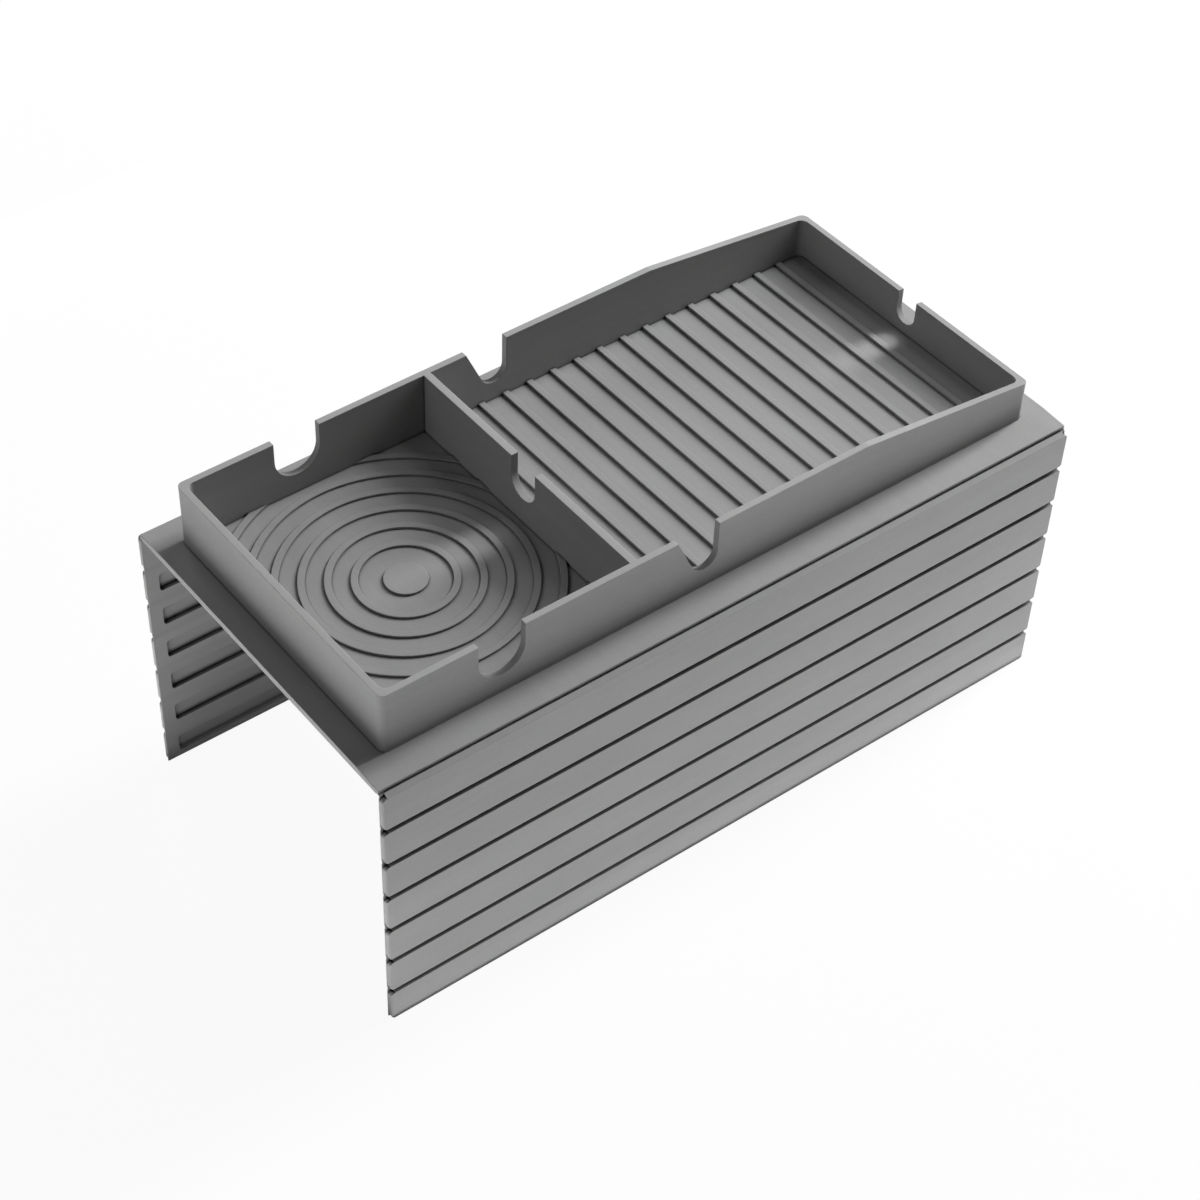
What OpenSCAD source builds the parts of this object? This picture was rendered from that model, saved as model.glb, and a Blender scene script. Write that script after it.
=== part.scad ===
// Sofa arm tray. A deck lies on the arm of a sofa and carries a walled tray with a cup bay and a
// snack bay. A skirt of seven slats hangs from each long edge of the deck, and every slat turns
// on a thin web that joins it to the piece above.
// Millimetres. X runs along the sofa arm, +X towards the low end of the tray. Z points up.
// The origin is the middle of the deck's underside, where the deck rests on the arm.

/* [Tray walls] */
// Length of the walled tray, outside
tray_l = 308.4; // [240:0.2:380]
// Width of the walled tray, outside
tray_w = 135.6; // [110:0.2:170]
// Thickness of the tray walls
wall_t = 2.8; // [2:0.1:4]
// Height of the rim over the tray floor
rim_h = 28.6; // [24:0.2:40]
// Height of the low end wall over the tray floor
end_h = 18; // [14:0.2:22]
// Length of the sloping part of the rim, from the low end
slope_l = 84.8; // [40:0.2:120]
// Radius of the tray's outer corners
corner_r = 2.9; // [2:0.1:6]
// Radius of the corners inside the tray
inner_corner_r = 3.3; // [1:0.1:5]

/* [Deck] */
// Bare deck beside the tray, along each long edge
side_margin = 12.7; // [6:0.1:25]
// Bare deck past each end wall
end_margin = 10.8; // [4:0.1:25]
// Thickness of the deck under the tray
deck_t = 3; // [2.6:0.1:4]
// Thickness of the deck at its long edges
deck_edge_t = 2.1; // [1.6:0.1:2.5]

/* [Cup bay] */
// Length of the cup bay, from the end wall to the divider
cup_bay_l = 108.4; // [85:0.2:130]
// Radius of the disc in the middle of the cup floor
disc_r = 8.6; // [5:0.1:12]
// Outer radius of the first ring
ring_first_r = 20.8; // [18:0.1:24]
// Step from one ring to the next
ring_pitch = 10; // [8:0.1:14]
// Width of a ring
ring_w = 2.8; // [1.5:0.1:4]
// Height of the disc and the rings over the floor
ring_h = 1; // [0.4:0.1:2]
// Number of rings round the disc
ring_n = 6; // [3:1:6]

/* [Snack bay] */
// Thickness of the divider
divider_t = 3.1; // [2:0.1:5]
// Clear floor between the divider and the first rib
rib_lead = 11.1; // [4:0.1:20]
// Clear floor kept in front of the low end wall
rib_tail = 8; // [2:0.1:20]
// Step from one rib to the next
rib_pitch = 11.89; // [6:0.01:20]
// Width of a rib
rib_w = 2.7; // [1.5:0.1:4]
// Height of a rib over the floor
rib_h = 1.3; // [0.4:0.1:2.5]

/* [Notches] */
// Width of the cup notch in each long wall
cup_notch_w = 20.6; // [12:0.2:30]
// Lowest point of the cup notch over the tray floor
cup_notch_sill = 9; // [4:0.2:12]
// Shift of the cup notch from the middle of the cup bay, towards the end wall
cup_notch_shift = 5; // [0:0.1:15]
// Radius at the bottom of the snack notch
snack_notch_r = 6.2; // [4:0.1:8]
// Lowest point of the snack notch over the tray floor
snack_notch_sill = 8.8; // [4:0.2:12]
// Width of the snack notch at the rim
snack_notch_w = 19.4; // [17:0.2:28]
// Distance from the divider to the upright side of the snack notch
snack_notch_far = 36.6; // [34:0.2:50]
// Width of the notch in the divider
divider_notch_w = 14.9; // [8:0.1:20]
// Lowest point of the divider's notch over the tray floor
divider_notch_sill = 11.8; // [6:0.2:16]
// Width of the notch in the low end wall
end_notch_w = 10.6; // [6:0.1:16]
// Lowest point of the end wall's notch over the tray floor
end_notch_sill = 5; // [2:0.2:8]

/* [Skirts] */
// Step from one slat to the next
slat_pitch = 18.55; // [16:0.05:24]
// Thickness of a slat
slat_t = 2.6; // [2.3:0.1:4]
// Length cut from the foot of the lowest slat
hem_trim = 1.7; // [0:0.1:3]
// Radius of a slat's corners, seen from the side
slat_corner_r = 2; // [0.5:0.1:3]
// Rounding of a slat's outer upright edges
slat_edge_r = 1; // [0.3:0.1:1.5]
// Height of the grooves' zero line over the deck's underside
pitch_datum = 1.15; // [0.8:0.05:1.6]

/* [Hinge webs] */
// Thickness of a web
web_t = 0.5; // [0.4:0.05:0.7]
// Length of web let into the piece on each side of a groove
web_seat = 1.2; // [0.8:0.1:2]
// Distance from a slat's end to the end of its webs
web_inset = 0.2; // [0.1:0.1:3]
// Width of a groove at its root
groove_root = 0.6; // [0.5:0.1:1]
// Height from a groove's middle to the edge of the slat over it
groove_rise = 0.75; // [0.4:0.05:1.2]
// Height from a groove's middle to the edge of the slat under it
groove_fall = 1.7; // [1.4:0.05:2.4]
// Gap between the deck's edge and the inner face of a skirt
skirt_gap = 0.3; // [0.2:0.05:0.5]
// Height of the top slat's edge over the deck's underside
head_h = 0.8; // [0.6:0.05:0.9]

/* [Pockets] */
// Height of the pocket inside a slat
pocket_h = 9.1; // [4:0.1:10]
// Depth of a pocket
pocket_d = 1.9; // [0.5:0.1:1.9]
// Drop of a pocket's middle below the middle of the slat's step
pocket_drop = 0.3; // [0:0.1:0.5]
// Distance from a slat's end to its pocket
pocket_inset = 5.8; // [3:0.1:20]
// Radius of a pocket's corners
pocket_r = 1.4; // [0.4:0.1:1.9]

/* [Hidden] */

$fn = 48;

// Slats in each skirt, the top one being number 1
slat_n = 7;

// Length by which a cut runs past the face it opens
overrun = 1;
// Depth by which raised floor patterns sink into the deck
sink = 0.5;

deck_l = tray_l + 2 * end_margin;
deck_w = tray_w + 2 * side_margin;
floor_z = deck_t;
rim_z = floor_z + rim_h;
end_rim_z = floor_z + end_h;

inner_l = tray_l - 2 * wall_t;
inner_w = tray_w - 2 * wall_t;
slope_x = tray_l / 2 - slope_l;

cup_bay_low_x = -inner_l / 2;
cup_bay_high_x = cup_bay_low_x + cup_bay_l;
cup_centre_x = (cup_bay_low_x + cup_bay_high_x) / 2;
snack_bay_low_x = cup_bay_high_x + divider_t;
snack_bay_high_x = inner_l / 2;

rib_span = snack_bay_high_x - snack_bay_low_x - rib_lead - rib_tail - rib_w;
rib_n = floor(rib_span / rib_pitch) + 1;

cup_notch_x = cup_centre_x - cup_notch_shift;
snack_notch_high_x = snack_bay_low_x + snack_notch_far;
snack_notch_x = snack_notch_high_x - snack_notch_r;
snack_notch_low_x = snack_notch_high_x - snack_notch_w;

// A skirt is drawn in section: first its distance out from the middle plane, then its height.
skirt_in = deck_w / 2 + skirt_gap;
skirt_out = skirt_in + slat_t;
web_out = skirt_in + web_t;

silicone = [0.56, 0.56, 0.57];
silicone_light = [0.66, 0.66, 0.67];
silicone_dark = [0.42, 0.42, 0.43];

// Height of groove k, where groove 0 is the zero line at the deck
function groove_z(k) = pitch_datum - k * slat_pitch;

// Rounded rectangle about the origin
module rounded_plan(l, w, r) {
    square([l - 2 * r, w], center = true);
    square([l, w - 2 * r], center = true);
    for (sx = [-1, 1], sy = [-1, 1]) {
        translate([sx * (l / 2 - r), sy * (w / 2 - r)])
            circle(r);
    }
}

// Side view of the tray: a level rim that slopes down to the low end wall
module rim_profile() {
    polygon([
        [-tray_l / 2 - overrun, 0],
        [tray_l / 2 + overrun, 0],
        [tray_l / 2 + overrun, end_rim_z - overrun * (rim_z - end_rim_z) / slope_l],
        [slope_x, rim_z],
        [-tray_l / 2 - overrun, rim_z]
    ]);
}

// Walls all round, with the divider between the two bays
module walls() {
    intersection() {
        linear_extrude(rim_z + overrun)
            difference() {
                rounded_plan(tray_l, tray_w, corner_r);
                difference() {
                    rounded_plan(inner_l, inner_w, inner_corner_r);
                    translate([cup_bay_high_x, -tray_w / 2])
                        square([divider_t, tray_w]);
                }
            }
        rotate([90, 0, 0])
            translate([0, 0, -tray_w / 2 - overrun])
                linear_extrude(tray_w + 2 * overrun)
                    rim_profile();
    }
}

// Slot with a round bottom and upright sides that opens through the rim, drawn in side view
module round_notch(w, sill) {
    translate([0, floor_z + sill + w / 2])
        circle(w / 2);
    translate([-w / 2, floor_z + sill + w / 2])
        square([w, rim_z + overrun - floor_z - sill - w / 2]);
}

// Snack notch in side view: one side upright, the other leaning out to the rim
module snack_notch() {
    centre = [snack_notch_x, floor_z + snack_notch_sill + snack_notch_r];
    lip = [snack_notch_low_x, rim_z];
    reach = centre - lip;
    lean = atan2(reach[1], reach[0]) - asin(snack_notch_r / norm(reach));
    run = sqrt(reach * reach - snack_notch_r * snack_notch_r);
    touch = lip + run * [cos(lean), sin(lean)];
    translate(centre)
        circle(snack_notch_r);
    polygon([
        touch,
        centre,
        [snack_notch_high_x, centre[1]],
        [snack_notch_high_x, rim_z + overrun],
        lip + [0, overrun],
        lip
    ]);
}

module notches() {
    rotate([90, 0, 0])
        translate([0, 0, -tray_w / 2 - overrun])
            linear_extrude(tray_w + 2 * overrun) {
                translate([cup_notch_x, 0])
                    round_notch(cup_notch_w, cup_notch_sill);
                snack_notch();
            }
    rotate([90, 0, 90]) {
        translate([0, 0, cup_bay_high_x - overrun])
            linear_extrude(divider_t + 2 * overrun)
                round_notch(divider_notch_w, divider_notch_sill);
        translate([0, 0, inner_l / 2 - overrun])
            linear_extrude(wall_t + 2 * overrun)
                round_notch(end_notch_w, end_notch_sill);
    }
}

// Disc and rings on the cup floor, cut off by the walls of the bay
module cup_floor() {
    translate([0, 0, floor_z - sink])
        linear_extrude(ring_h + sink)
            intersection() {
                translate([cup_bay_low_x - wall_t / 2, -inner_w / 2 - wall_t / 2])
                    square([cup_bay_l + wall_t / 2 + divider_t / 2, inner_w + wall_t]);
                translate([cup_centre_x, 0]) {
                    circle(disc_r);
                    for (k = [0 : ring_n - 1]) {
                        difference() {
                            circle(ring_first_r + k * ring_pitch);
                            circle(ring_first_r + k * ring_pitch - ring_w);
                        }
                    }
                }
            }
}

// Ribs across the snack floor, from wall to wall
module snack_floor() {
    for (k = [0 : rib_n - 1]) {
        translate([
            snack_bay_low_x + rib_lead + k * rib_pitch,
            -inner_w / 2 - wall_t / 2,
            floor_z - sink
        ])
            cube([rib_w, inner_w + wall_t, rib_h + sink]);
    }
}

// Section across the deck, with the step under each long edge that takes a web
module deck_section() {
    difference() {
        polygon([
            [-deck_w / 2, 0],
            [deck_w / 2, 0],
            [deck_w / 2, deck_edge_t],
            [tray_w / 2, deck_t],
            [-tray_w / 2, deck_t],
            [-deck_w / 2, deck_edge_t]
        ]);
        for (side = [-1, 1]) {
            translate([side * (deck_w / 2 + overrun / 2 - web_seat / 2), web_t / 2 - overrun / 2])
                square([web_seat + overrun, web_t + overrun], center = true);
        }
    }
}

module tray_body() {
    color(silicone) {
        rotate([90, 0, 90])
            translate([0, 0, -deck_l / 2])
                linear_extrude(deck_l)
                    deck_section();
        difference() {
            walls();
            notches();
        }
        cup_floor();
        snack_floor();
    }
}

// Section of slat k, counted from the deck
module slat_section(k) {
    top = groove_z(k - 1);
    foot = groove_z(k);
    hem = foot + hem_trim;
    seat_z = k == 1 ? -web_seat : top - web_seat;
    head_points = [
        [web_out, root_top(k)],
        [skirt_out, top - groove_fall]
    ];
    foot_points = k == slat_n
        ? [
            [skirt_out, hem],
            [skirt_in, hem]
        ]
        : [
            [skirt_out, foot + groove_rise],
            [web_out, foot + groove_root / 2],
            [web_out, foot + web_seat],
            [skirt_in, foot + web_seat]
        ];
    polygon(concat(head_points, foot_points, [[skirt_in, seat_z], [web_out, seat_z]]));
}

// Top and foot of slat k, at the root of the grooves over and under it
function root_top(k) = k == 1 ? head_h : groove_z(k - 1) - groove_root / 2;
function root_foot(k) = k == slat_n ? groove_z(k) + hem_trim : groove_z(k) + groove_root / 2;

// Top and foot of slat k, on its outer face
function face_top(k) = groove_z(k - 1) - groove_fall;
function face_foot(k) = k == slat_n ? groove_z(k) + hem_trim : groove_z(k) + groove_rise;

// Slat k seen from the side, with the corners of its outer face rounded off
module slat_outline(k) {
    translate([0, (face_top(k) + face_foot(k)) / 2])
        rounded_plan(deck_l, face_top(k) - face_foot(k), slat_corner_r);
    translate([0, (root_top(k) + root_foot(k)) / 2])
        square([deck_l - 2 * slat_corner_r, root_top(k) - root_foot(k)], center = true);
}

// Slat k of the skirt on the +Y side: full length at the back, where the webs are, with the
// corners rounded in front of them
module slat(k) {
    difference() {
        intersection() {
            rotate([90, 0, 90])
                translate([0, 0, -deck_l / 2])
                    linear_extrude(deck_l)
                        slat_section(k);
            union() {
                translate([0, skirt_out + overrun, 0])
                    rotate([90, 0, 0])
                        linear_extrude(slat_t - web_t + overrun)
                            slat_outline(k);
                translate([-deck_l / 2, 0, root_foot(k) - overrun])
                    cube([deck_l, web_out, root_top(k) - root_foot(k) + 2 * overrun]);
            }
            translate([0, skirt_out / 2, root_foot(k) - overrun])
                linear_extrude(root_top(k) - root_foot(k) + 2 * overrun)
                    rounded_plan(deck_l, skirt_out, slat_edge_r);
        }
        translate([0, skirt_in + pocket_d, groove_z(k) + slat_pitch / 2 - pocket_drop])
            rotate([90, 0, 0])
                linear_extrude(pocket_d + overrun)
                    rounded_plan(deck_l - 2 * pocket_inset, pocket_h, pocket_r);
    }
}

// Section of web k, the first one turning the corner from the deck's underside into the skirt
module web_section(k) {
    if (k == 1) {
        polygon([
            [deck_w / 2 - web_seat, 0],
            [deck_w / 2, 0],
            [skirt_in, -skirt_gap],
            [skirt_in, -web_seat],
            [web_out, -web_seat],
            [web_out, web_t - skirt_gap],
            [web_out - skirt_gap, web_t],
            [deck_w / 2 - web_seat, web_t]
        ]);
    } else {
        translate([skirt_in, groove_z(k - 1) - web_seat])
            square([web_t, 2 * web_seat]);
    }
}

// Web k of the skirt on the +Y side
module web(k) {
    rotate([90, 0, 90])
        translate([0, 0, -deck_l / 2 + web_inset])
            linear_extrude(deck_l - 2 * web_inset)
                web_section(k);
}

// A skirt piece on the far side, which is the +Y side
module far_side() {
    children();
}

// The same piece on the near side
module near_side() {
    mirror([0, 1, 0])
        children();
}

module near_web_1() { color(silicone_dark) near_side() web(1); }
module near_web_2() { color(silicone_dark) near_side() web(2); }
module near_web_3() { color(silicone_dark) near_side() web(3); }
module near_web_4() { color(silicone_dark) near_side() web(4); }
module near_web_5() { color(silicone_dark) near_side() web(5); }
module near_web_6() { color(silicone_dark) near_side() web(6); }
module near_web_7() { color(silicone_dark) near_side() web(7); }

module near_slat_1() { color(silicone_light) near_side() slat(1); }
module near_slat_2() { color(silicone) near_side() slat(2); }
module near_slat_3() { color(silicone_light) near_side() slat(3); }
module near_slat_4() { color(silicone) near_side() slat(4); }
module near_slat_5() { color(silicone_light) near_side() slat(5); }
module near_slat_6() { color(silicone) near_side() slat(6); }
module near_slat_7() { color(silicone_light) near_side() slat(7); }

module far_web_1() { color(silicone_dark) far_side() web(1); }
module far_web_2() { color(silicone_dark) far_side() web(2); }
module far_web_3() { color(silicone_dark) far_side() web(3); }
module far_web_4() { color(silicone_dark) far_side() web(4); }
module far_web_5() { color(silicone_dark) far_side() web(5); }
module far_web_6() { color(silicone_dark) far_side() web(6); }
module far_web_7() { color(silicone_dark) far_side() web(7); }

module far_slat_1() { color(silicone_light) far_side() slat(1); }
module far_slat_2() { color(silicone) far_side() slat(2); }
module far_slat_3() { color(silicone_light) far_side() slat(3); }
module far_slat_4() { color(silicone) far_side() slat(4); }
module far_slat_5() { color(silicone_light) far_side() slat(5); }
module far_slat_6() { color(silicone) far_side() slat(6); }
module far_slat_7() { color(silicone_light) far_side() slat(7); }

tray_body();
near_web_1();
near_slat_1();
near_web_2();
near_slat_2();
near_web_3();
near_slat_3();
near_web_4();
near_slat_4();
near_web_5();
near_slat_5();
near_web_6();
near_slat_6();
near_web_7();
near_slat_7();
far_web_1();
far_slat_1();
far_web_2();
far_slat_2();
far_web_3();
far_slat_3();
far_web_4();
far_slat_4();
far_web_5();
far_slat_5();
far_web_6();
far_slat_6();
far_web_7();
far_slat_7();
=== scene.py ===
import math

import bpy
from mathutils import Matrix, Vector


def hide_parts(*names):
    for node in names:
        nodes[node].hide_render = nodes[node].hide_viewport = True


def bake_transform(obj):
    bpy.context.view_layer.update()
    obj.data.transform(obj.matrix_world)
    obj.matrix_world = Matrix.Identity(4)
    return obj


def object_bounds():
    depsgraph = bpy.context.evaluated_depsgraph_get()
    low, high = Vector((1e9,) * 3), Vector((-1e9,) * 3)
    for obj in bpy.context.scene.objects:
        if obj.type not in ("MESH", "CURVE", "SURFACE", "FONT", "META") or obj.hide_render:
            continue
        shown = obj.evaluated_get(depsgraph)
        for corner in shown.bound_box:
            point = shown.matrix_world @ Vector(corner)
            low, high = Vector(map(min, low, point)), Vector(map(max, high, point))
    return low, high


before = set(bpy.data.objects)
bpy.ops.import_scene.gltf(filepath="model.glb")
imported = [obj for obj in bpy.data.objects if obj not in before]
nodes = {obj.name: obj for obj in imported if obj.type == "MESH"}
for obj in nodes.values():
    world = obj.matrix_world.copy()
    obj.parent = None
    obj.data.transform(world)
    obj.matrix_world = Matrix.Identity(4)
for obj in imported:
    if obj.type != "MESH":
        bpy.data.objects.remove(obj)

cad_low, cad_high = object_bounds()
MM = 0.001

# Sizes of the part that the folds follow, in millimetres
DECK_L = 330.0
DECK_W = 161.0
SKIRT_GAP = 0.3  # between the deck's side and the skirt
WEB_T = 0.5
WEB_SEAT = 1.2  # how far a web is let into its neighbours
WEB_INSET = 0.2  # from the skirt's end to a web's end
SLAT_PITCH = 18.55
PITCH_DATUM = 1.15  # height of the first pitch line above the deck's underside
SLATS = 7
SKIRT_IN = DECK_W / 2 + SKIRT_GAP
WEB_MID = SKIRT_IN + WEB_T / 2


# Camera, fitted to the corners and edges of the photograph
CAMERA_PLACE = (-0.496046, -0.602361, 0.703812)
CAMERA_TURN = (43.24062, 0.32097, -35.60125)
camera_data = bpy.data.cameras.new("camera")
camera = bpy.data.objects.new("camera", camera_data)
bpy.context.scene.collection.objects.link(camera)
camera_data.sensor_width = 36.0
camera_data.lens = 80.443
camera_data.shift_x = 0.11176
camera_data.shift_y = 0.08488
camera_data.clip_start = 0.05
camera_data.clip_end = 50.0
camera.location = CAMERA_PLACE
camera.rotation_euler = [math.radians(angle) for angle in CAMERA_TURN]
bpy.context.scene.camera = camera


class Tree:
    """A few short calls for building a node tree."""

    def __init__(self, material):
        material.use_nodes = True
        self.nodes = material.node_tree.nodes
        self.links = material.node_tree.links
        self.nodes.clear()

    def add(self, kind, **values):
        node = self.nodes.new(kind)
        for key, value in values.items():
            setattr(node, key, value)
        return node

    def join(self, source, target):
        self.links.new(source, target)

    def noise(self, vector, scale, detail=3.0, rough=0.5):
        node = self.add("ShaderNodeTexNoise")
        node.inputs["Scale"].default_value = scale
        node.inputs["Detail"].default_value = detail
        node.inputs["Roughness"].default_value = rough
        node.inputs["Distortion"].default_value = 0.0
        self.join(vector, node.inputs["Vector"])
        return node.outputs["Fac"]

    def streaks(self, vector, scale):
        """Noise stretched by a scale along each axis, in cycles per metre."""
        stretched = self.add("ShaderNodeMapping")
        stretched.inputs["Scale"].default_value = scale
        self.join(vector, stretched.inputs["Vector"])
        return self.noise(stretched.outputs["Vector"], 1.0, 4.0, 0.6)

    def span(self, value, source, result):
        """The source range mapped to the result range, and held at its ends."""
        node = self.add("ShaderNodeMapRange")
        node.inputs["From Min"].default_value = source[0]
        node.inputs["From Max"].default_value = source[1]
        node.inputs["To Min"].default_value = result[0]
        node.inputs["To Max"].default_value = result[1]
        self.join(value, node.inputs["Value"])
        return node.outputs["Result"]

    def maths(self, operation, a, b):
        node = self.add("ShaderNodeMath", operation=operation)
        for socket, value in ((node.inputs[0], a), (node.inputs[1], b)):
            if isinstance(value, (int, float)):
                socket.default_value = value
            else:
                self.join(value, socket)
        return node.outputs[0]


# The grey of the silicone, and how far each noise moves it from even
GREY = (0.300, 0.300, 0.299)
NOISE_BODY = (0.3, 0.7)  # the part of a noise's range that holds nearly all of it
NOISE_CORE = (0.35, 0.65)
STREAK_UPRIGHT = (9.0, 9.0, 160.0)
STREAK_FLAT = (170.0, 9.0, 9.0)
STREAK_BLUSH = (23.0, 17.0, 90.0)
STREAK_SHADE = (-0.03, 0.03)
CLOUD_SCALE = 14.0
CLOUD_SHADE = (-0.035, 0.035)
DUST_SCALE = 1100.0
DUST_SHADE = (-0.018, 0.018)
RED_LEAN = (0.985, 1.015)
GREEN_LEAN = (1.006, 0.994)

# Painted highlight along edges and painted shade in nooks: lengths and heights in metres, and how open the skin is
# as a share of the half sphere over it.
# A nook's values for the painted shade are how near another surface has to be, how open the darkest and the plain
# skin is, and what the darkest painted-shade skin keeps of its grey
TRAY_PAINTED_SHADE = (0.0015, (0.36, 0.84), 0.10)
GROOVE_PAINTED_SHADE = (0.0028, (0.54, 0.88), 0.02)
EDGE_OPEN = (0.70, 0.92)
EDGE_TURN = (0.98, 0.76)  # cosine between the face and its rounded edge
LEVEL_TURN = (0.6, 0.8)  # height of the normal from which a face counts as level
FLOOR_BAND = (-0.1245, -0.1235)
WALL_FOOT = (0.0665, 0.0675)
DECK_SIDE = (0.076, 0.077)
RIM_BAND = 0.004
RIM_WEAR_AND_HIGHLIGHT = 4.0
BODY_WEAR_AND_HIGHLIGHT = 0.5
RIM_PAINTED_LIGHT = 0.21

# Grain
FINE_SCALE = 2600.0
FINE_SHARE = 0.35
SKIN_SCALE = 420.0
GRAIN_STRENGTH = 0.10
GRAIN_DEPTH = 0.00012
ROUGHNESS = (0.60, 0.72)
IOR = 1.42
SPECULAR = 0.25


def silicone(name, tone, seed, edge=0.0004, wear_and_highlight=0.10, rim=None, painted_shade=TRAY_PAINTED_SHADE):
    """Matte moulded silicone: an uneven grey with faint flow streaks and a fine grain, painted shade in grooves and
    corners, and paler edges from wear and a painted highlight.
    """
    material = bpy.data.materials.new(name)
    t = Tree(material)
    place = t.add("ShaderNodeTexCoord")
    shifted = t.add("ShaderNodeMapping")
    shifted.inputs["Location"].default_value = (seed * 0.37, seed * 0.19, seed * 0.11)
    t.join(place.outputs["Object"], shifted.inputs["Vector"])
    here = shifted.outputs["Vector"]
    way = t.add("ShaderNodeSeparateXYZ")
    t.join(place.outputs["Normal"], way.inputs["Vector"])
    level = t.span(t.maths("ABSOLUTE", way.outputs["Z"], 0.0), LEVEL_TURN, (0.0, 1.0))

    # Flow streaks run along the skirts and walls, and across the tray on its floors
    upright = t.streaks(here, STREAK_UPRIGHT)
    flat = t.streaks(here, STREAK_FLAT)
    swing = t.maths("MULTIPLY", level, t.maths("SUBTRACT", flat, upright))
    streak = t.span(t.maths("ADD", upright, swing), NOISE_BODY, STREAK_SHADE)
    cloud = t.span(t.noise(here, CLOUD_SCALE), NOISE_BODY, CLOUD_SHADE)
    dust = t.span(t.noise(here, DUST_SCALE, 2.0), NOISE_CORE, DUST_SHADE)
    shade = t.maths("ADD", t.maths("ADD", cloud, streak), t.maths("ADD", dust, 1.0))

    # The grey leans a little to pink or to green from streak to streak
    blush = t.streaks(here, STREAK_BLUSH)
    red = t.span(blush, NOISE_BODY, RED_LEAN)
    green = t.span(blush, NOISE_BODY, GREEN_LEAN)

    # Paler edges, partly wear and partly a painted highlight: where the rounded normal leaves the face's own
    round_edge = t.add("ShaderNodeBevel", samples=4)
    round_edge.inputs["Radius"].default_value = edge
    face = t.add("ShaderNodeNewGeometry")
    turn = t.add("ShaderNodeVectorMath", operation="DOT_PRODUCT")
    t.join(round_edge.outputs["Normal"], turn.inputs[0])
    t.join(face.outputs["Normal"], turn.inputs[1])
    reach, openness, least = painted_shade
    nook = t.add("ShaderNodeAmbientOcclusion", samples=6)
    nook.inputs["Distance"].default_value = reach
    open_edge = t.span(nook.outputs["AO"], EDGE_OPEN, (0.0, 1.0))
    edge_wear_and_highlight = t.maths("MULTIPLY", t.span(turn.outputs["Value"], EDGE_TURN, (0.0, wear_and_highlight)), open_edge)
    if rim is not None:
        # Above that height the rim's edges get more of the wear and painted highlight, and its flat top a painted
        # light, as the open rim catches more light than the floors
        spot = t.add("ShaderNodeSeparateXYZ")
        t.join(place.outputs["Object"], spot.inputs["Vector"])
        high = t.span(spot.outputs["Z"], (rim - RIM_BAND, rim), (0.0, 1.0))
        edge_wear_and_highlight = t.maths("MULTIPLY", edge_wear_and_highlight, t.maths("ADD", t.maths("MULTIPLY", high, RIM_WEAR_AND_HIGHLIGHT), BODY_WEAR_AND_HIGHLIGHT))
        painted_rim_light = t.maths("MULTIPLY", t.maths("MULTIPLY", high, level), RIM_PAINTED_LIGHT)
        edge_wear_and_highlight = t.maths("ADD", edge_wear_and_highlight, painted_rim_light)
    shade = t.maths("ADD", shade, edge_wear_and_highlight)

    # Painted shade: grooves and corners are darkened in the colour where another surface is near, but not where that
    # surface is the floor
    spot = t.add("ShaderNodeSeparateXYZ")
    t.join(face.outputs["Position"], spot.inputs["Vector"])
    no_painted_shade = t.span(spot.outputs["Z"], FLOOR_BAND, (1.0, 0.0))
    if rim is not None:
        # No painted shade on the deck beside the tray either, from the foot of its long walls nearly to the skirts
        beside = t.maths("ABSOLUTE", spot.outputs["Y"], 0.0)
        no_painted_shade = t.maths("MULTIPLY", t.span(beside, WALL_FOOT, (0.0, 1.0)), t.span(beside, DECK_SIDE, (1.0, 0.0)))
    painted_shade_share = t.maths("MAXIMUM", t.span(nook.outputs["AO"], openness, (least, 1.0)), no_painted_shade)
    shade = t.maths("MULTIPLY", shade, painted_shade_share)

    colour = t.add("ShaderNodeCombineColor")
    for socket, part, lean in zip(("Red", "Green", "Blue"), tone, (red, green, 1.0)):
        t.join(t.maths("MULTIPLY", t.maths("MULTIPLY", shade, part), lean), colour.inputs[socket])

    fine = t.noise(here, FINE_SCALE, 2.0, 0.6)
    skin = t.noise(here, SKIN_SCALE, 3.0, 0.55)
    bump = t.add("ShaderNodeBump")
    bump.inputs["Strength"].default_value = GRAIN_STRENGTH
    bump.inputs["Distance"].default_value = GRAIN_DEPTH
    t.join(t.maths("ADD", t.maths("MULTIPLY", fine, FINE_SHARE), skin), bump.inputs["Height"])
    t.join(round_edge.outputs["Normal"], bump.inputs["Normal"])

    shader = t.add("ShaderNodeBsdfPrincipled")
    # The painted shade dims the specular as well
    t.join(t.maths("MULTIPLY", painted_shade_share, SPECULAR), shader.inputs["Specular IOR Level"])
    shader.inputs["IOR"].default_value = IOR
    t.join(colour.outputs["Color"], shader.inputs["Base Color"])
    t.join(t.span(skin, NOISE_BODY, ROUGHNESS), shader.inputs["Roughness"])
    t.join(bump.outputs["Normal"], shader.inputs["Normal"])
    out = t.add("ShaderNodeOutputMaterial")
    t.join(shader.outputs["BSDF"], out.inputs["Surface"])
    return material


def toned(share):
    return tuple(part * share for part in GREY)


RIM_HIGH = 0.0285  # height in metres from which the rim's paler edges and painted top light are full
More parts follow.
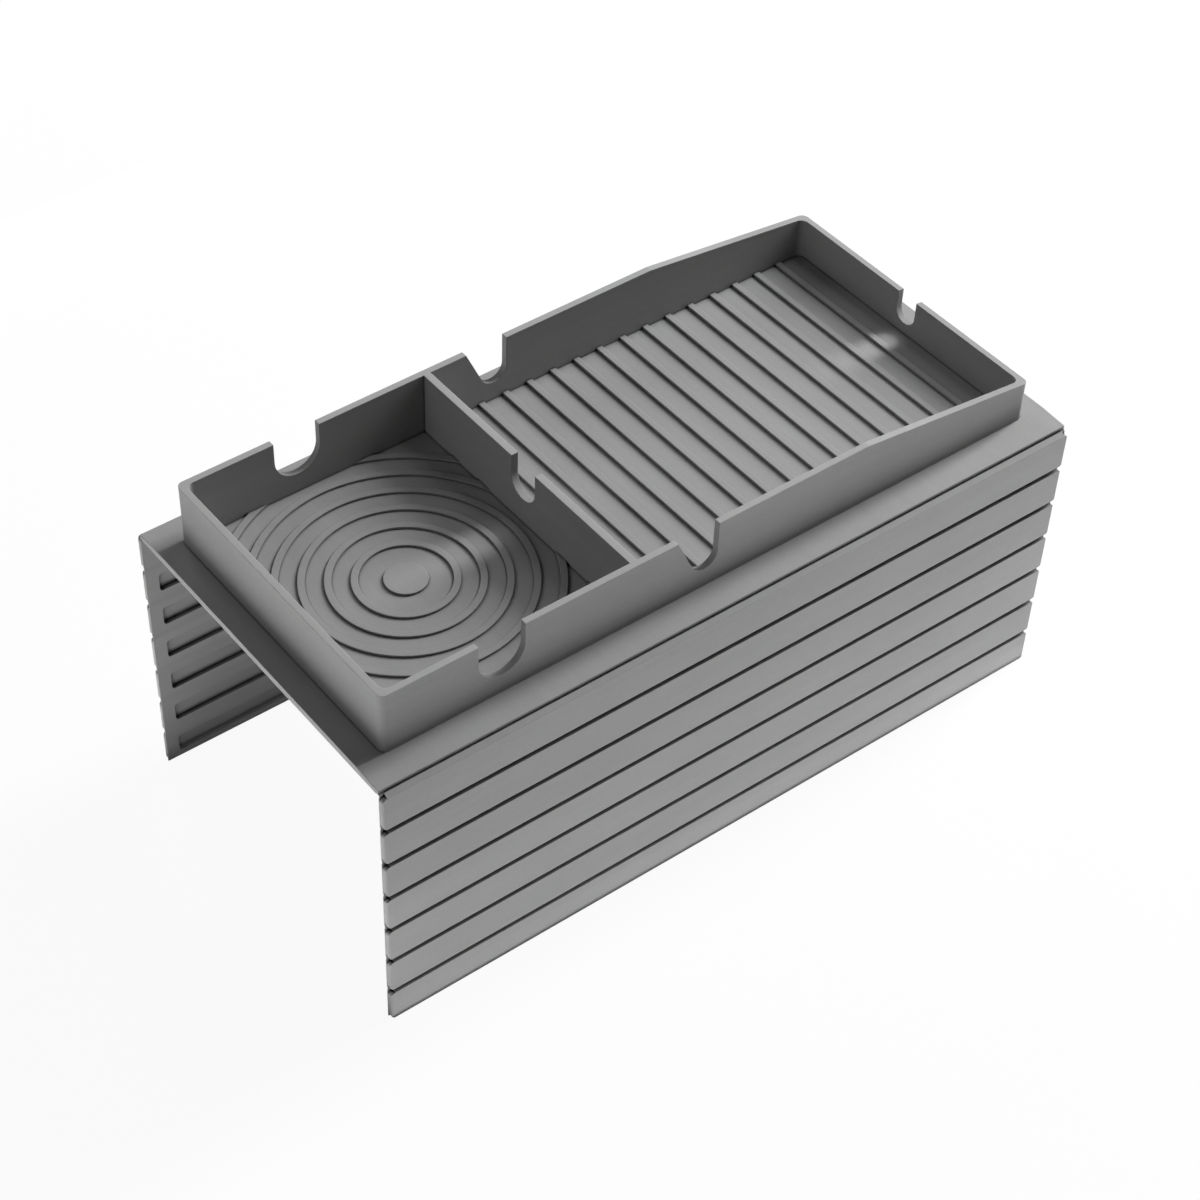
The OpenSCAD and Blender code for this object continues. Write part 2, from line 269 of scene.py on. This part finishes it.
# The webs at the grooves' bottom are a little darker: a painted shade
WEB_SHADED_TONE = 0.96
SLAT_EDGE = 0.0002
SLAT_WEAR_AND_HIGHLIGHT = 0.05
WEB_EDGE = 0.0002
body_skin = silicone("silicone_tray", GREY, 1, rim=RIM_HIGH)
web_skin = silicone("silicone_web", toned(WEB_SHADED_TONE), 2, edge=WEB_EDGE, painted_shade=GROOVE_PAINTED_SHADE)
slat_skins = []
for k in range(1, SLATS + 1):
    # Neighbouring slats differ by about one part in a hundred
    share = 1 + 0.012 * ((k * 5) % 3 - 1)
    slat_skins.append(silicone(f"silicone_slat_{k}", toned(share), 3 + k, SLAT_EDGE, SLAT_WEAR_AND_HIGHLIGHT, painted_shade=GROOVE_PAINTED_SHADE))


def dress(node, material):
    if not node.material_slots:
        node.data.materials.append(material)
    for slot in node.material_slots:
        slot.material = material


dress(nodes["tray_body"], body_skin)
for side in ("near", "far"):
    for k in range(1, SLATS + 1):
        dress(nodes[f"{side}_slat_{k}"], slat_skins[k - 1])
        dress(nodes[f"{side}_web_{k}"], web_skin)


def strip(name, line, side):
    """A web: a thin strip along the skirt, from the points of its middle and the way out there."""
    x_low, x_high = -DECK_L / 2 + WEB_INSET, DECK_L / 2 - WEB_INSET
    verts, faces, rings = [], [], []
    for (u, z), (nu, nz) in line:
        ring = []
        for x in (x_low, x_high):
            for s in (-1, 1):
                ring.append(len(verts))
                y = side * (u + s * nu * WEB_T / 2)
                verts.append((x * MM, y * MM, (z + s * nz * WEB_T / 2) * MM))
        rings.append(ring)
    for a, b in zip(rings, rings[1:]):
        faces.append((a[0], a[2], b[2], b[0]))
        faces.append((a[1], b[1], b[3], a[3]))
        faces.append((a[0], b[0], b[1], a[1]))
        faces.append((a[2], a[3], b[3], b[2]))
    first, last = rings[0], rings[-1]
    faces.append((first[0], first[1], first[3], first[2]))
    faces.append((last[0], last[2], last[3], last[1]))
    mesh = bpy.data.meshes.new(name)
    mesh.from_pydata(verts, [], faces)
    mesh.update()
    piece = bpy.data.objects.new(name, mesh)
    bpy.context.scene.collection.objects.link(piece)
    bpy.ops.object.select_all(action="DESELECT")
    piece.select_set(True)
    bpy.context.view_layer.objects.active = piece
    bpy.ops.object.mode_set(mode="EDIT")
    bpy.ops.mesh.select_all(action="SELECT")
    bpy.ops.mesh.normals_make_consistent(inside=False)
    bpy.ops.object.mode_set(mode="OBJECT")
    piece.data.materials.append(web_skin)
    return piece


CORNER_INNER = 0.2  # inner radius of the first web's corner
CORNER_STEPS = 8
DROP_STEPS = 4
FLAT_STEPS = 12


def corner_line():
    """The first web: along the deck's underside, round the corner, and down the top slat."""
    bend = WEB_T / 2 + CORNER_INNER
    mid_u, mid_z = WEB_MID - bend, WEB_T / 2 - bend
    points = [((DECK_W / 2 - WEB_SEAT, WEB_T / 2), (0.0, 1.0)),
              ((DECK_W / 2 - WEB_SEAT / 2, WEB_T / 2), (0.0, 1.0))]
    for i in range(CORNER_STEPS + 1):
        a = math.radians(90 - i * 90 / CORNER_STEPS)
        out = (math.cos(a), math.sin(a))
        points.append(((mid_u + bend * out[0], mid_z + bend * out[1]), out))
    for i in range(1, DROP_STEPS + 1):
        points.append(((WEB_MID, mid_z + (-WEB_SEAT - mid_z) * i / DROP_STEPS), (1.0, 0.0)))
    return points


def flat_line(z):
    """A web between two slats, straight at rest."""
    return [((WEB_MID, z + WEB_SEAT - 2 * WEB_SEAT * i / FLAT_STEPS), (1.0, 0.0)) for i in range(FLAT_STEPS + 1)]


# The points of each fold's section where its bend would start and end; they are worked out here but not used
CORNER_START = (DECK_W / 2 - 0.1, WEB_T / 2)
CORNER_END = (WEB_MID, -0.7)
FLAT_REACH = 0.5
for name, side in (("near", -1), ("far", 1)):
    for k in range(1, SLATS + 1):
        if k == 1:
            line, start, end = corner_line(), CORNER_START, CORNER_END
        else:
            z = PITCH_DATUM - (k - 1) * SLAT_PITCH
            line, start, end = flat_line(z), (WEB_MID, z + FLAT_REACH), (WEB_MID, z - FLAT_REACH)
        piece = strip(f"{name}_fold_{k}", line, side)
        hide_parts(f"{name}_web_{k}")
        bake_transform(piece)


# The floor is seen as nearly white round the object, where it keeps its shadow, and as white farther out
FLOOR_HALF = 14.0
FLOOR_GAP = 0.0002
PAPER = (0.86, 0.86, 0.86, 1.0)
WHITE = (1.0, 1.0, 1.0, 1.0)
FADE_REACH = (0.45, 1.8)
FADE_WHITE = (0.93, 1.0)


def floor():
    mesh = bpy.data.meshes.new("floor")
    z = cad_low[2] - FLOOR_GAP
    corners = ((-1, -1), (1, -1), (1, 1), (-1, 1))
    mesh.from_pydata([(x * FLOOR_HALF, y * FLOOR_HALF, z) for x, y in corners], [], [(0, 1, 2, 3)])
    mesh.update()
    obj = bpy.data.objects.new("floor", mesh)
    bpy.context.scene.collection.objects.link(obj)
    material = bpy.data.materials.new("floor_paper")
    t = Tree(material)
    paper = t.add("ShaderNodeBsdfDiffuse")
    paper.inputs["Color"].default_value = PAPER
    white = t.add("ShaderNodeEmission")
    white.inputs["Color"].default_value = WHITE
    white.inputs["Strength"].default_value = 1.0
    seen = t.add("ShaderNodeLightPath")
    either = t.maths("MAXIMUM", seen.outputs["Is Camera Ray"], seen.outputs["Is Transmission Ray"])
    away = t.add("ShaderNodeVectorMath", operation="LENGTH")
    t.join(t.add("ShaderNodeTexCoord").outputs["Object"], away.inputs[0])
    fade = t.span(away.outputs["Value"], FADE_REACH, FADE_WHITE)
    mix = t.add("ShaderNodeMixShader")
    t.join(t.maths("MULTIPLY", either, fade), mix.inputs["Fac"])
    t.join(paper.outputs["BSDF"], mix.inputs[1])
    t.join(white.outputs["Emission"], mix.inputs[2])
    out = t.add("ShaderNodeOutputMaterial")
    t.join(mix.outputs["Shader"], out.inputs["Surface"])
    obj.data.materials.append(material)


def sky():
    """White to the camera, and no light of its own: the lamps give all of it."""
    world = bpy.data.worlds.new("world")
    bpy.context.scene.world = world
    world.use_nodes = True
    t = world.node_tree
    t.nodes.clear()
    dark, white = [t.nodes.new("ShaderNodeBackground") for _ in range(2)]
    for node, strength in ((dark, 0.0), (white, 1.0)):
        node.inputs["Color"].default_value = WHITE
        node.inputs["Strength"].default_value = strength
    seen = t.nodes.new("ShaderNodeLightPath")
    mix = t.nodes.new("ShaderNodeMixShader")
    out = t.nodes.new("ShaderNodeOutputWorld")
    t.links.new(seen.outputs["Is Camera Ray"], mix.inputs["Fac"])
    t.links.new(dark.outputs["Background"], mix.inputs[1])
    t.links.new(white.outputs["Background"], mix.inputs[2])
    t.links.new(mix.outputs["Shader"], out.inputs["Surface"])


def lamp(name, place, aim, size, power):
    """A soft rectangular lamp at place, turned towards aim, both in metres. The camera doesn't see it."""
    data = bpy.data.lights.new(name, "AREA")
    data.shape = "RECTANGLE"
    data.size, data.size_y = size
    data.energy = power
    obj = bpy.data.objects.new(name, data)
    bpy.context.scene.collection.objects.link(obj)
    obj.location = place
    way = Vector(aim) - Vector(place)
    obj.rotation_euler = way.to_track_quat("-Z", "Y").to_euler()
    obj.visible_camera = False


MIDDLE = (0.0, 0.0, -0.02)
FAR = 1.6
LOW = -0.126
UP = 1.0
HAIR = 0.0001


def around(azimuth, elevation):
    """A place FAR from the object's middle: azimuth from +X towards +Y, elevation above the level."""
    a, e = math.radians(azimuth), math.radians(elevation)
    return (FAR * math.cos(a) * math.cos(e), FAR * math.sin(a) * math.cos(e), FAR * math.sin(e) + MIDDLE[2])


def from_floor(x, y):
    """Place and aim of a lamp that shines up from the floor. The aim is a hair off, so that its turn is defined."""
    return (x, y, LOW), (x, y + HAIR, UP)


# Name, place, aim, width and height, and power in watts. The floor's lamps stand for the light that paper gives back
LAMPS = [
    ("key", around(0, 32), MIDDLE, (0.35, 1.0), 36.5),
    ("crown", around(0, 62), MIDDLE, (0.7, 0.7), 4.5),
    ("left", around(180, 30), MIDDLE, (0.8, 0.8), 3.6),
    ("left_floor", *from_floor(-0.33, 0.0), (0.28, 0.30), 0.70),
    ("right_floor", *from_floor(0.33, 0.0), (0.28, 0.30), 0.35),
    ("under_floor", *from_floor(-0.11, 0.0), (0.14, 0.12), 0.010),
    ("front_level", (0.0, -0.75, 0.0), (0.0, 0.0, 0.0), (0.8, 0.06), 0.28),
    ("front", (0.0, -0.45, -0.11), (0.0, 0.0, -0.11), (0.6, 0.03), 0.11),
    ("front_floor", *from_floor(0.0, -0.23), (0.55, 0.25), 0.42),
    ("front_foot", *from_floor(0.0, -0.0915), (0.34, 0.014), 0.022),
    ("back_level", (0.0, 0.75, 0.0), (0.0, 0.0, 0.0), (0.8, 0.06), 0.28),
    ("back", (0.0, 0.45, -0.11), (0.0, 0.0, -0.11), (0.6, 0.03), 0.11),
    ("back_floor", *from_floor(0.0, 0.23), (0.55, 0.25), 0.42),
    ("back_foot", *from_floor(0.0, 0.0915), (0.34, 0.014), 0.022),
    ("back_high", around(90, 30), MIDDLE, (0.8, 0.8), 5.0),
]
floor()
sky()
for values in LAMPS:
    lamp(*values)
bpy.context.scene.view_settings.view_transform = "Standard"
